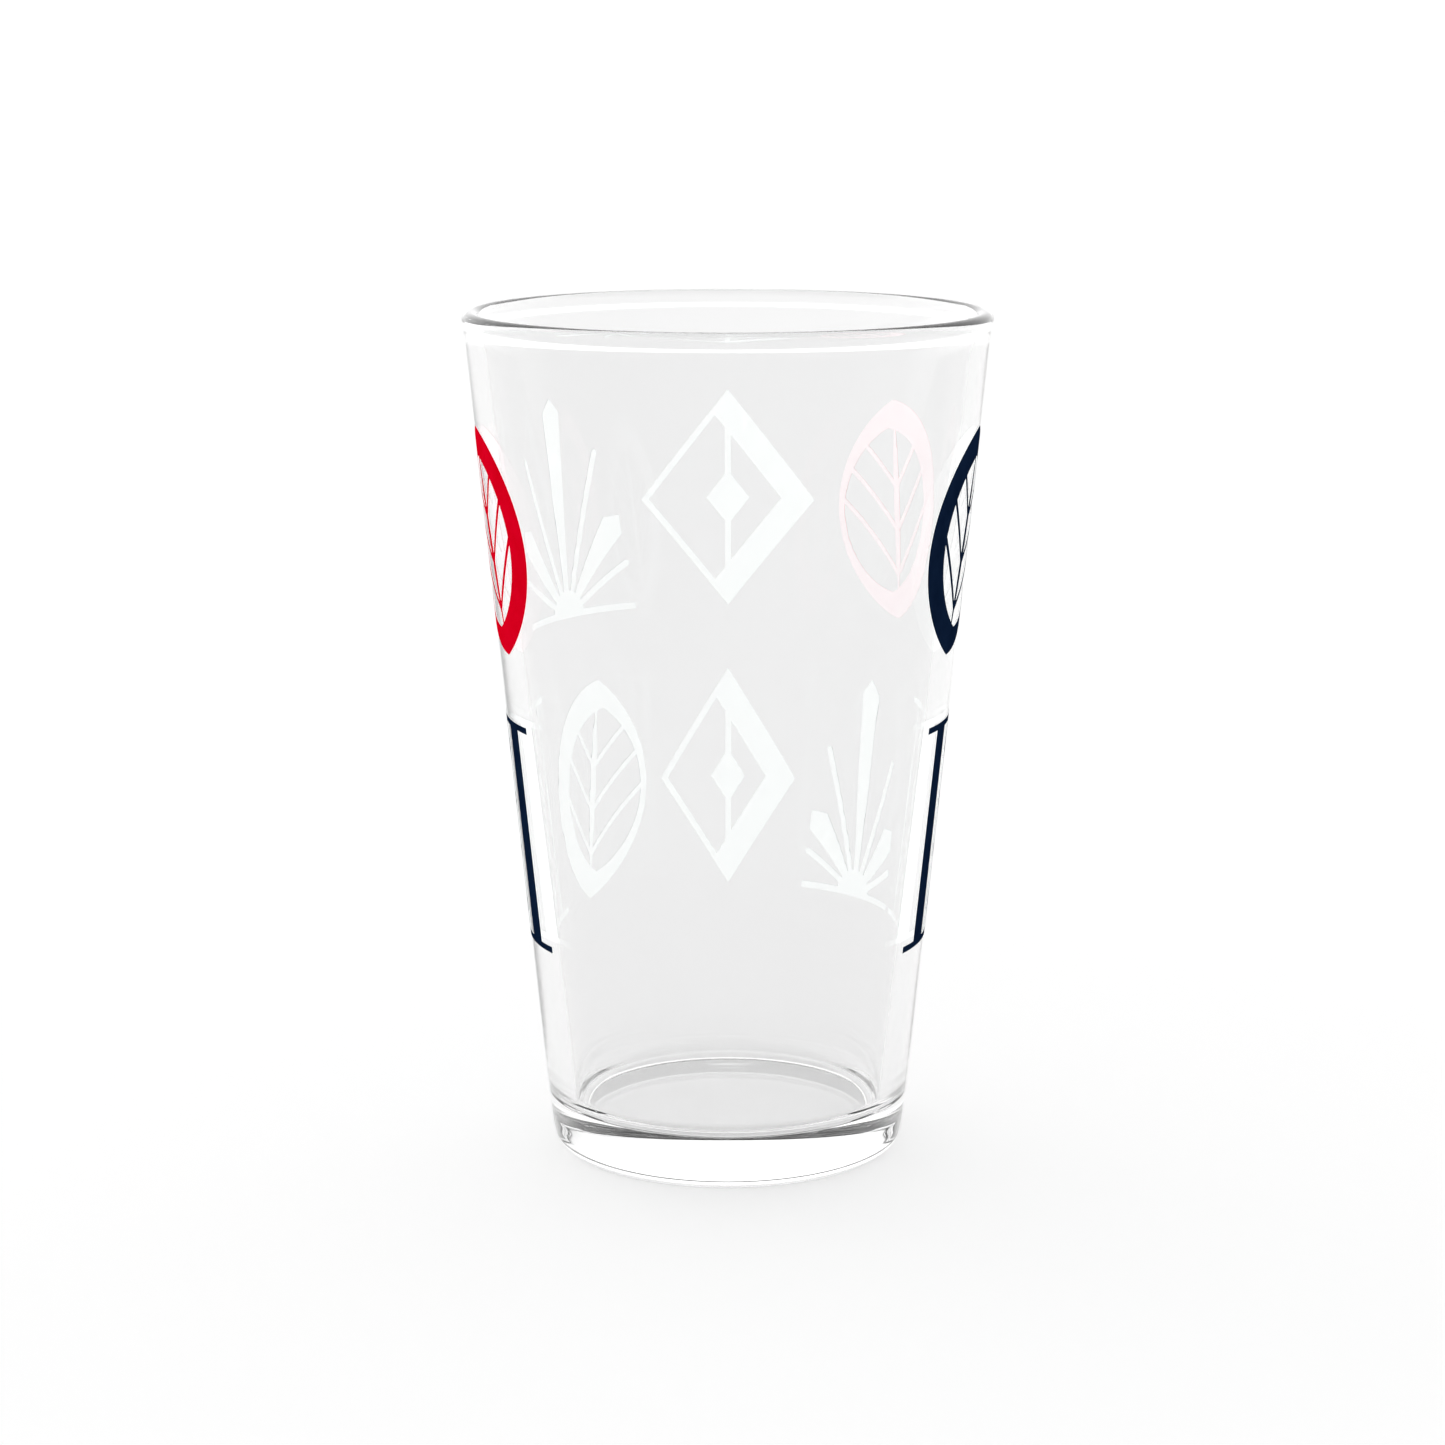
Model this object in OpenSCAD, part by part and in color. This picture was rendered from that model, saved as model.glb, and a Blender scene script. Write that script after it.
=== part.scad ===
// Pint glass with a two-row printed wrap: one pressed glass body, and ten flat
// ornaments that are each printed as a white underbase with a colour on top of it.
// Millimetres. +Z is up, the origin is the centre of the base on the table,
// and the unprinted gap in the wrap faces -Y.

/* [Glass] */
// Overall height of the glass
glass_h = 144.4; // [110:0.2:180]
// Outer diameter of the rounded rim
rim_d = 88.9; // [80:0.1:110]
// Wall thickness at the rim, measured level
rim_wall = 2.8; // [2:0.1:4]
// Wall thickness at the inside floor, measured level
foot_wall = 4.6; // [3:0.1:6]
// How far the rounded rim stands out from the wall
rim_stand = 0.25; // [0.1:0.05:0.4]
// Outer diameter of the tapered wall where it meets the heel
wall_foot_d = 62.8; // [54:0.1:76]

/* [Base] */
// Height of the heel, the band round the base
heel_h = 12; // [10:0.2:16]
// Height of the slope between the heel and the wall
shoulder_h = 3.6; // [1.5:0.1:4.2]
// Outer diameter of the heel at its top
heel_top_d = 61.9; // [52:0.1:72]
// Height at which the heel starts to draw in
heel_mid_h = 4.6; // [3.5:0.1:5]
// Outer diameter of the heel where it starts to draw in
heel_mid_d = 61.2; // [52:0.1:71]
// Outer diameter of the heel at the table, before its edge is rounded
heel_foot_d = 59.4; // [50:0.1:70]
// Radius of the heel's bottom edge
heel_r = 2.4; // [1.5:0.1:2.6]
// Width of the flat ring that the glass rests on
foot_ring_w = 1.3; // [1.2:0.1:5]
// Depth of the shallow hollow under the base
hollow_depth = 0.3; // [0.2:0.05:0.4]
// Thickness of the solid base, from the table to the inside floor
floor_t = 8.5; // [7:0.1:12]
// Radius of the corner between the floor and the wall, inside
floor_r = 3; // [2:0.2:6]

/* [Printed wrap] */
// Thickness of each printed layer
film_t = 0.05; // [0.04:0.01:0.1]
// Width of the hairlines in every ornament
hair_w = 1.1; // [0.8:0.1:1.6]
// Width of the bold strokes in every ornament
bold_w = 4.8; // [3:0.1:6]
// Number of ornaments in each row
row_count = 5; // [5:1:5]

/* [Upper row] */
// Height of the upper row's centre above the table
upper_z = 107; // [95:0.5:112]
// Height of the upper row's ornaments
upper_h = 38.4; // [30:0.2:42]
// Width of the upper row's leaves
leaf_w = 29; // [22:0.2:30]
// Width of the upper row's other ornaments
upper_w = 33; // [24:0.2:34]
// Half of the gap's angle, from the front to the centre of the first ornament
upper_start = 75; // [74:0.5:80]

/* [Lower row] */
// Height of the lower row's centre above the table
lower_z = 57; // [48:0.5:62]
// Height of the lower row's ornaments
lower_h = 38.8; // [30:0.2:42]
// Width of the lower row's ornaments
lower_w = 26.4; // [20:0.2:27]
// Half of the gap's angle, from the front to the centre of the first ornament
lower_start = 83; // [82:0.5:88]

/* [Hidden] */
$fn = 128;
film_fn = 256;                              // facets of the thin printed shells

rim_r = rim_d / 2;
bead_r = (rim_wall + rim_stand) / 2;        // the rim is fully rounded over the wall
bead_z = glass_h - bead_r;
wall_top_r = rim_r - rim_stand;             // outer radius of the wall at the bead's height
wall_foot_r = wall_foot_d / 2;
taper = (wall_top_r - wall_foot_r) / (bead_z - heel_h);
heel_lean = (heel_mid_d - heel_foot_d) / 2 / heel_mid_h;
heel_fillet = corner_x(heel_foot_d / 2, heel_lean, heel_r);
hollow_r = heel_fillet - foot_ring_w;
mouth_r = rim_r - 2 * bead_r;
floor_edge = wall_out(floor_t) - foot_wall; // where the wall's inside would meet the floor
inner_taper = (mouth_r - floor_edge) / (bead_z - floor_t);
floor_fillet = corner_x(floor_edge, inner_taper, floor_r);
upper_pitch = (360 - 2 * upper_start) / (row_count - 1);
lower_pitch = (360 - 2 * lower_start) / (row_count - 1);
leaf_tilt = 12;                             // lean of the leaves, in degrees
vein_w = hair_w * 0.7;
vein_turn = 48;                             // rise of the side veins, in degrees
pillar_lozenges = 4;                        // lozenges between a pillar's uprights
bold_inset = bold_w * 0.85;                 // from a pillar's end to its uprights
vein_pitch = 0.2;                           // step between side veins, of the leaf's height

// Outer radius of the tapered wall at a height
function wall_out(z) = wall_foot_r + taper * (z - heel_h);
// Centre of a corner of radius r that touches a level line and a wall that starts
// on that line at foot_x and leans out by lean
function corner_x(foot_x, lean, r) = foot_x + lean * r - r * sqrt(1 + lean * lean);
// The point where that corner runs into the wall
function corner_end(x, z, lean, r) = [x, z] + r * [1, -lean] / sqrt(1 + lean * lean);

// ---------------------------------------------------------------- glass

module outer_section() {
    polygon([[0, hollow_depth], [hollow_r - hollow_depth, hollow_depth], [hollow_r, 0],
        [heel_fillet, 0], corner_end(heel_fillet, heel_r, heel_lean, heel_r),
        [heel_mid_d / 2, heel_mid_h], [heel_top_d / 2, heel_h - shoulder_h],
        [wall_foot_r, heel_h], [wall_top_r, bead_z], [rim_r - bead_r, glass_h], [0, glass_h]]);
    translate([heel_fillet, heel_r]) circle(heel_r);
    translate([rim_r - bead_r, bead_z]) circle(bead_r);
}

module inner_section() {
    difference() {
        union() {
            polygon([[0, floor_t], [floor_fillet, floor_t],
                corner_end(floor_fillet, floor_t + floor_r, inner_taper, floor_r),
                [mouth_r, bead_z], [rim_r - bead_r, bead_z],
                [rim_r - bead_r, glass_h + 1], [0, glass_h + 1]]);
            translate([floor_fillet, floor_t + floor_r]) circle(floor_r);
        }
        translate([rim_r - bead_r, bead_z]) circle(bead_r);
    }
}

module glass_body() {
    color([0.9, 0.93, 0.93, 0.35]) rotate_extrude() difference() {
        outer_section();
        inner_section();
    }
}

// ---------------------------------------------------------------- flat ornaments

module almond(w, h) {
    arc_r = (w * w + h * h) / 4 / w;
    intersection() {
        translate([arc_r - w / 2, 0]) circle(arc_r, $fn = film_fn);
        translate([w / 2 - arc_r, 0]) circle(arc_r, $fn = film_fn);
    }
}

// A pointed leaf: one bold edge, one thin edge, a midrib and side veins
module leaf(w, h, bold_side) {
    rotate(bold_side * leaf_tilt) {
        difference() {
            almond(w, h);
            translate([-bold_side * (bold_w - hair_w) / 2, 0])
                almond(w - bold_w - hair_w, h - 2 * bold_w);
        }
        almond(vein_w * 2, h - bold_w);
        intersection() {
            almond(w - hair_w, h - hair_w);
            for (place = [-1:1], turn = [vein_turn, 180 - vein_turn])
                translate([0, place * h * vein_pitch - h / 10]) rotate(turn)
                    translate([0, -vein_w / 2]) square([w, vein_w]);
        }
    }
}

module rhombus(w, h) {
    polygon([[-w / 2, 0], [0, -h / 2], [w / 2, 0], [0, h / 2]]);
}

// A lozenge with two bold sides, a hairline down the middle and a small solid heart
module lozenge(w, h) {
    side_ratio = sqrt(1 + w * w / h / h);
    difference() {
        rhombus(w, h);
        translate([(bold_w - hair_w) / 2 * side_ratio, 0]) rhombus(
            w - (bold_w + hair_w) * side_ratio, h - (bold_w + hair_w) * side_ratio * h / w);
    }
    rhombus(w / 4, h / 4);
    translate([-hair_w / 2, hair_w - h / 2]) square([hair_w, h - 2 * hair_w]);
}

// An open fan: bold and thin rays from a half-round hub on a hairline
module fan(w, h) {
    hub_r = bold_w;
    spread = 62;
    rays = 7;
    translate([-w / 2, -h / 2]) square([w, hair_w]);
    translate([0, -h / 2]) intersection() {
        circle(hub_r);
        translate([-hub_r, 0]) square([2 * hub_r, hub_r]);
    }
    for (i = [0:rays - 1]) {
        turn = spread * (2 * i / (rays - 1) - 1);
        reach = ray_reach(turn, w / 2, h);
        tip = i % 2 == 0 ? hair_w : bold_w;
        translate([0, -h / 2]) rotate(-turn) polygon([[-hair_w / 2, hub_r / 2],
            [hair_w / 2, hub_r / 2], [tip / 2, reach - tip / 2], [0, reach], [-tip / 2, reach - tip / 2]]);
    }
}

// Length of a ray that ends on an upright half ellipse a wide and b high
function ray_reach(turn, a, b) = 1 / sqrt(pow(sin(turn) / a, 2) + pow(cos(turn) / b, 2));

// A fluted pillar: a bold and a thin upright, and a column of lozenges, between two hairlines
module pillar(w, h, bold_side) {
    lozenge_h = (h - 2 * hair_w) / pillar_lozenges;
    for (z = [-h / 2, h / 2 - hair_w]) translate([-w / 2, z]) square([w, hair_w]);
    mirror([bold_side < 0 ? 1 : 0, 0]) {
        translate([w / 2 - bold_inset - bold_w, -h / 2]) square([bold_w, h]);
        translate([bold_inset - w / 2, -h / 2]) square([hair_w, h]);
        for (i = [0:pillar_lozenges - 1])
            translate([(hair_w - bold_w) / 2, (i - (pillar_lozenges - 1) / 2) * lozenge_h])
                rhombus(bold_w, lozenge_h + hair_w);
    }
}

// ---------------------------------------------------------------- print on the wall

// Wraps a flat ornament onto the wall: layer 0 lies on the glass, layer 1 on layer 0
module printed(angle, centre_z, h, layer) {
    low = centre_z - h / 2 - bold_w;
    high = centre_z + h / 2 + bold_w;
    intersection() {
        rotate_extrude($fn = film_fn) polygon([
            [wall_out(low) + layer * film_t, low],
            [wall_out(low) + (layer + 1) * film_t, low],
            [wall_out(high) + (layer + 1) * film_t, high],
            [wall_out(high) + layer * film_t, high]]);
        rotate([0, 0, angle]) translate([0, 0, centre_z]) rotate([90, 0, 0])
            linear_extrude(height = rim_d) children();
    }
}

function upper_angle(place) = upper_start + (place - 1) * upper_pitch;
function lower_angle(place) = lower_start + (place - 1) * lower_pitch;

white = [0.96, 0.98, 0.98];
navy = [0.04, 0.09, 0.18];
red = [0.78, 0.02, 0.13];

module upper_leaf(place, layer, bold_side)
    printed(upper_angle(place), upper_z, upper_h, layer) leaf(leaf_w, upper_h, bold_side);
module upper_lozenge(place, layer)
    printed(upper_angle(place), upper_z, upper_h, layer) lozenge(upper_w, upper_h);
module upper_fan(place, layer)
    printed(upper_angle(place), upper_z, upper_h, layer) fan(upper_w, upper_h);
module lower_pillar(place, layer, bold_side)
    printed(lower_angle(place), lower_z, lower_h, layer) pillar(lower_w, lower_h, bold_side);
module lower_fan(place, layer)
    printed(lower_angle(place), lower_z, lower_h, layer) fan(lower_w, lower_h);
module lower_lozenge(place, layer)
    printed(lower_angle(place), lower_z, lower_h, layer) lozenge(lower_w, lower_h);
module lower_leaf(place, layer, bold_side)
    printed(lower_angle(place), lower_z, lower_h, layer) leaf(lower_w, lower_h, bold_side);

module upper_1_leaf_white() { color(white) upper_leaf(1, 0, -1); }
module upper_1_leaf_navy() { color(navy) upper_leaf(1, 1, -1); }
module upper_2_leaf_white() { color(white) upper_leaf(2, 0, -1); }
module upper_2_leaf_red() { color(red) upper_leaf(2, 1, -1); }
module upper_3_lozenge_white() { color(white) upper_lozenge(3, 0); }
module upper_3_lozenge_navy() { color(navy) upper_lozenge(3, 1); }
module upper_4_fan_white() { color(white) upper_fan(4, 0); }
module upper_4_fan_navy() { color(navy) upper_fan(4, 1); }
module upper_5_leaf_white() { color(white) upper_leaf(5, 0, 1); }
module upper_5_leaf_red() { color(red) upper_leaf(5, 1, 1); }
module lower_1_pillar_white() { color(white) lower_pillar(1, 0, -1); }
module lower_1_pillar_navy() { color(navy) lower_pillar(1, 1, -1); }
module lower_2_fan_white() { color(white) lower_fan(2, 0); }
module lower_2_fan_navy() { color(navy) lower_fan(2, 1); }
module lower_3_lozenge_white() { color(white) lower_lozenge(3, 0); }
module lower_3_lozenge_navy() { color(navy) lower_lozenge(3, 1); }
module lower_4_leaf_white() { color(white) lower_leaf(4, 0, 1); }
module lower_4_leaf_navy() { color(navy) lower_leaf(4, 1, 1); }
module lower_5_pillar_white() { color(white) lower_pillar(5, 0, 1); }
module lower_5_pillar_navy() { color(navy) lower_pillar(5, 1, 1); }

glass_body();
upper_1_leaf_white();
upper_1_leaf_navy();
upper_2_leaf_white();
upper_2_leaf_red();
upper_3_lozenge_white();
upper_3_lozenge_navy();
upper_4_fan_white();
upper_4_fan_navy();
upper_5_leaf_white();
upper_5_leaf_red();
lower_1_pillar_white();
lower_1_pillar_navy();
lower_2_fan_white();
lower_2_fan_navy();
lower_3_lozenge_white();
lower_3_lozenge_navy();
lower_4_leaf_white();
lower_4_leaf_navy();
lower_5_pillar_white();
lower_5_pillar_navy();
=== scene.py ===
import math

import bmesh
import bpy
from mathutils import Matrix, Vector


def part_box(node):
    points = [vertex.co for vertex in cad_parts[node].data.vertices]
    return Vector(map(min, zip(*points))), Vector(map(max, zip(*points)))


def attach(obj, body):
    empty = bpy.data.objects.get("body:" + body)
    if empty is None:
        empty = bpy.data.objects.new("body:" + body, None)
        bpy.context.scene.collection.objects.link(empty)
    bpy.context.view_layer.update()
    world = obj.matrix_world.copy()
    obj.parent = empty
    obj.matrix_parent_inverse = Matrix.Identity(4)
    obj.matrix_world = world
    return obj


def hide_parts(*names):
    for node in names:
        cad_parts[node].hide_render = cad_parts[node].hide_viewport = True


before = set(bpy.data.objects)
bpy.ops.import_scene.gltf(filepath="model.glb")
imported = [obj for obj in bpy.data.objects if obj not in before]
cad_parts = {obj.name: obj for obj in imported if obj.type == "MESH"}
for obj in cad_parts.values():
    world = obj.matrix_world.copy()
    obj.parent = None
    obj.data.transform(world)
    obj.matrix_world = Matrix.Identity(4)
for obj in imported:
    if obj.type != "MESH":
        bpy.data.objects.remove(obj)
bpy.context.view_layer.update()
mm = 0.001
print("frame loaded:", len(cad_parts), "parts")


# A shader socket that can be used in sums, so that pattern maths reads like maths.
class Signal:
    def __init__(self, tree, socket):
        self.tree = tree
        self.socket = socket

    def maths(self, operation, *values, clamp=False):
        node = self.tree.nodes.new("ShaderNodeMath")
        node.operation = operation
        node.use_clamp = clamp
        for slot, value in zip(node.inputs, values):
            if isinstance(value, Signal):
                self.tree.links.new(value.socket, slot)
            else:
                slot.default_value = value
        return Signal(self.tree, node.outputs[0])

    def __add__(self, other):
        return self.maths("ADD", self, other)

    def __radd__(self, other):
        return self.maths("ADD", other, self)

    def __sub__(self, other):
        return self.maths("SUBTRACT", self, other)

    def __rsub__(self, other):
        return self.maths("SUBTRACT", other, self)

    def __mul__(self, other):
        return self.maths("MULTIPLY", self, other)

    def __rmul__(self, other):
        return self.maths("MULTIPLY", other, self)

    def between(self, low, high):
        return self.maths("MULTIPLY", self - low, 1 / (high - low), clamp=True)


# One node tree being wired: add() makes any node, with its settings first and then its sockets.
class Wiring:
    def __init__(self, tree):
        self.tree = tree

    def join(self, slot, value):
        if isinstance(value, Signal):
            self.tree.links.new(value.socket, slot)
        else:
            slot.default_value = value

    def add(self, kind, settings=None, out=0, **inputs):
        node = self.tree.nodes.new(kind)
        for key, value in (settings or {}).items():
            if key == "stops":
                while len(node.color_ramp.elements) < len(value):
                    node.color_ramp.elements.new(0.5)
                for stop, (position, tone) in zip(node.color_ramp.elements, value):
                    stop.position = position
                    stop.color = (tone, tone, tone, 1)
            else:
                setattr(node, key, value)
        for key, value in inputs.items():
            self.join(node.inputs[key.replace("_", " ")], value)
        return Signal(self.tree, node.outputs[out])


# A material's wiring: plug() feeds the main shader.
class Finish(Wiring):
    def __init__(self, name):
        self.material = bpy.data.materials.new(name)
        self.material.use_nodes = True
        super().__init__(self.material.node_tree)
        self.shader = self.tree.nodes["Principled BSDF"]

    def plug(self, **inputs):
        for key, value in inputs.items():
            self.join(self.shader.inputs[key.replace("_", " ")], value)

    def place(self):
        return self.add("ShaderNodeTexCoord", out="Object")

    def speckle(self, scale, detail):
        return self.add("ShaderNodeTexNoise", Vector=self.place(), Scale=scale, Detail=detail)

    def blend(self, amount, first, second):
        mix = self.add("ShaderNodeMix", {"data_type": "RGBA"}, out=2)      # 2 is the colour result
        for slot, value in ((0, amount), (6, first), (7, second)):         # the factor and the two colours
            self.join(mix.socket.node.inputs[slot], value)
        return mix

    def bump(self, height, distance):
        self.plug(Normal=self.add("ShaderNodeBump", Strength=1.0, Distance=distance, Height=height))


view = {
    "away": 602.0, "height": 195.3, "pitch": 0.199,
    "focal": 89.4, "sensor": 36, "shiftX": -0.0035,
    "near": 10, "far": 20000,
}

def makeCamera():
    camera = bpy.data.objects.new("camera", bpy.data.cameras.new("camera"))
    camera.data.sensor_width = view["sensor"]
    camera.data.lens = view["focal"]
    camera.data.shift_x = view["shiftX"]
    camera.data.clip_start = view["near"] * mm
    camera.data.clip_end = view["far"] * mm
    camera.location = (0, -view["away"] * mm, view["height"] * mm)
    camera.rotation_euler = (math.pi / 2 - view["pitch"], 0, 0)
    bpy.context.collection.objects.link(camera)
    bpy.context.scene.camera = camera

makeCamera()
print("camera placed")


glass = {
    "rimWall": 2.8, "footWall": 4.6, "rimStand": 0.25, "wallFootAcross": 62.8,
    "heelHeight": 12.0, "shoulder": 3.6, "shoulderRound": 1.4, "heelTopAcross": 61.9,
    "heelMidAcross": 61.2, "heelMid": 4.6, "heelMidRound": 1.2, "heelFootAcross": 59.4, "heelRound": 2.4,
    "hollowAcross": 52.8, "hollow": 0.3, "floor": 8.5, "floorRound": 3.0,
    "inkGap": 0.02,     # hair's breadth of air between the glass and the print
    "ringRound": 0.1,   # where the hollow meets the flat ring that the glass stands on
    # the bead's rounding as a share of its half width, where its underside starts, and the run up to it
    "beadRound": 0.98, "beadUnder": 0.55, "beadRise": 0.3, "beadUnderRound": 0.5,
    "beadRunUp": 1.8, "beadRunUpRound": 1.2,
    "turns": 256, "arcSteps": 10, "strip": 0.06, "longRun": 1.0,
    "tint": 0.912, "bend": 1.52, "waveScale": 45.0, "waveDetail": 1.0, "waveHeight": 0.012,
}

def glassOutline():
    low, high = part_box("glass_body")
    top = high[2] / mm
    rim = high[0] / mm
    bead = (glass["rimWall"] + glass["rimStand"]) / 2
    beadMid = top - bead
    wallTop = rim - glass["rimStand"]
    wallFoot = glass["wallFootAcross"] / 2
    taper = (wallTop - wallFoot) / (beadMid - glass["heelHeight"])
    wallAt = lambda z: wallFoot + taper * (z - glass["heelHeight"]) - glass["inkGap"]
    under = beadMid - bead * glass["beadUnder"]
    runUp = under - glass["beadRunUp"]
    beadReach = bead * glass["beadRound"]
    ring = glass["hollowAcross"] / 2
    # radius, height and the reach of the rounding, from under the base, up the outside and down the inside
    return [
        (0, glass["hollow"], 0),
        (ring - glass["hollow"], glass["hollow"], glass["ringRound"]),
        (ring, 0, glass["ringRound"]),
        (glass["heelFootAcross"] / 2, 0, glass["heelRound"]),
        (glass["heelMidAcross"] / 2, glass["heelMid"], glass["heelMidRound"]),
        (glass["heelTopAcross"] / 2, glass["heelHeight"] - glass["shoulder"], glass["shoulderRound"]),
        (wallFoot - glass["inkGap"], glass["heelHeight"], glass["shoulderRound"]),
        (wallAt(runUp), runUp, glass["beadRunUpRound"]),
        (rim, under + glass["beadRise"], glass["beadUnderRound"]),
        (rim, top, beadReach),
        (rim - 2 * bead, top, beadReach),
        (wallAt(glass["floor"]) - glass["footWall"], glass["floor"], glass["floorRound"]),
        (0, glass["floor"], 0),
    ]

def spinGlass():
    form = bmesh.new()
    corners = [(form.verts.new((r * mm, 0, z * mm)), reach * mm) for r, z, reach in glassOutline()]
    for (near, _), (far, _) in zip(corners, corners[1:]):
        form.edges.new((near, far))
    for corner, reach in corners:
        if reach:
            bmesh.ops.bevel(form, geom=[corner], offset=reach, offset_type="OFFSET", affect="VERTICES",
                            segments=glass["arcSteps"], profile=0.5, material=-1, clamp_overlap=False)
    # a narrow strip at each end of a long run keeps its shading as flat as its shape
    strip = glass["strip"] * mm
    for edge in [edge for edge in form.edges if edge.calc_length() > glass["longRun"] * mm]:
        near = edge.verts[0]
        newEdge, newVert = bmesh.utils.edge_split(edge, near, strip / edge.calc_length())
        rest = max(newVert.link_edges, key=lambda side: side.calc_length())
        bmesh.utils.edge_split(rest, rest.other_vert(newVert), strip / rest.calc_length())
    outline = form.verts[:] + form.edges[:]
    bmesh.ops.spin(form, geom=outline, cent=(0, 0, 0), axis=(0, 0, 1), angle=math.tau,
                   steps=glass["turns"], use_merge=True, use_duplicate=False)
    bmesh.ops.remove_doubles(form, verts=form.verts[:], dist=1e-6)
    bmesh.ops.dissolve_degenerate(form, edges=form.edges[:], dist=1e-7)
    bmesh.ops.recalc_face_normals(form, faces=form.faces[:])
    for face in form.faces:
        face.smooth = True
    mesh = bpy.data.meshes.new("pintGlass")
    form.to_mesh(mesh)
    form.free()
    return mesh

def glassFinish():
    finish = Finish("clear glass")
    finish.plug(Base_Color=(glass["tint"],) * 3 + (1,), Roughness=0.0, IOR=glass["bend"],
                Transmission_Weight=1.0)
    finish.bump(finish.speckle(glass["waveScale"], glass["waveDetail"]), glass["waveHeight"] * mm)
    return finish.material

body = bpy.data.objects.new("pintGlass", spinGlass())
bpy.context.collection.objects.link(body)
body.data.materials.append(glassFinish())
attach(body, "root")
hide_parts("glass_body")
print("glass spun:", len(body.data.polygons), "faces")


# the white films glow, because unlit ones come out gray through the tinted glass
inks = {
    "navy": {"dark": (0.0030, 0.0085, 0.026, 1), "light": (0.0045, 0.012, 0.034, 1), "glow": 0.0},
    "red": {"dark": (0.62, 0.0, 0.010, 1), "light": (0.68, 0.0003, 0.015, 1), "glow": 0.0},
    "white": {"dark": (0.60, 0.62, 0.62, 1), "light": (0.65, 0.665, 0.66, 1), "glow": 1.45},
    "rose": {"dark": (0.62, 0.55, 0.56, 1), "light": (0.66, 0.60, 0.61, 1), "glow": 1.45},
}

film = {
    "cloudScale": 260.0, "cloudDetail": 3.0, "cloudRange": (0.35, 0.65),
    "grainScale": 5200.0, "grainDetail": 2.0, "grainHeight": 0.004,
    "smooth": 0.26, "roughGain": 0.12,
}

def inkFinish(name):
    colours = inks[name]
    finish = Finish(name + " ink")
    cloud = finish.speckle(film["cloudScale"], film["cloudDetail"]).between(*film["cloudRange"])
    grain = finish.speckle(film["grainScale"], film["grainDetail"])
    finish.plug(Base_Color=finish.blend(cloud, colours["dark"], colours["light"]),
                Roughness=film["smooth"] + grain * film["roughGain"], IOR=1.5, Specular_IOR_Level=0.0,
                Emission_Color=colours["light"], Emission_Strength=colours["glow"])
    finish.bump(grain, film["grainHeight"] * mm)
    return finish.material

finishes = {name: inkFinish(name) for name in inks}
for name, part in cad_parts.items():
    if name == "glass_body":
        continue
    colour = name.split("_")[-1]
    if colour == "white" and name.replace("white", "red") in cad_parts:
        colour = "rose"         # the red on top shines through a little
    part.data.materials.clear()
    part.data.materials.append(finishes[colour])
print("print coloured")


studio = {
    "floorSize": 6000, "floorTone": 0.8, "floorGlow": 0.5, "floorRough": 0.9,
    # brightness of the sky by the sine of the height above the horizon
    "sky": ((0.0, 1.12), (0.15, 1.1), (0.3, 1.05), (0.7, 1.0), (0.8, 0.05), (1.0, 0.02)),
    # the front is a little dimmer, the back brighter, and the left brighter than the right
    "frontTone": 0.9, "frontFade": (-0.45, -0.15),
    "backGain": 0.4, "backFade": (0.15, 0.5), "leftLean": 0.15,
}

def makeFloor():
    form = bmesh.new()
    bmesh.ops.create_grid(form, x_segments=1, y_segments=1, size=studio["floorSize"] * mm)
    mesh = bpy.data.meshes.new("floor")
    form.to_mesh(mesh)
    form.free()
    floor = bpy.data.objects.new("floor", mesh)
    bpy.context.collection.objects.link(floor)
    paint = Finish("pale floor")
    paint.plug(Base_Color=(studio["floorTone"],) * 3 + (1,), Roughness=studio["floorRough"],
               Specular_IOR_Level=0.0, Emission_Color=(1, 1, 1, 1), Emission_Strength=studio["floorGlow"])
    floor.data.materials.append(paint.material)

def makeSky():
    world = bpy.data.worlds.new("studio")
    bpy.context.scene.world = world
    world.use_nodes = True
    sky = Wiring(world.node_tree)
    place = sky.add("ShaderNodeTexCoord", out="Generated")
    split = sky.add("ShaderNodeSeparateXYZ", Vector=place).socket.node
    across, along, up = (Signal(sky.tree, output) for output in split.outputs)
    brightest = max(tone for height, tone in studio["sky"])
    stops = [(height, tone / brightest) for height, tone in studio["sky"]]
    band = sky.add("ShaderNodeValToRGB", {"stops": stops}, Fac=up)
    depth = along.between(*studio["frontFade"]) * (1 - studio["frontTone"]) + studio["frontTone"]
    depth = depth + along.between(*studio["backFade"]) * studio["backGain"]
    lean = 1 - across * studio["leftLean"]
    sky.join(sky.tree.nodes["Background"].inputs["Color"], band * depth * lean * brightest)

# light crosses the glass many times, so it is followed further than usual
bounces = {"max": 32, "transmission": 32, "glossy": 16, "diffuse": 4}

def setLightPaths():
    scene = bpy.context.scene
    scene.view_settings.view_transform = "Standard"
    for kind, count in bounces.items():
        setattr(scene.cycles, kind + "_bounces", count)
    scene.cycles.use_denoising = True

makeFloor()
makeSky()
setLightPaths()
print("studio lit")
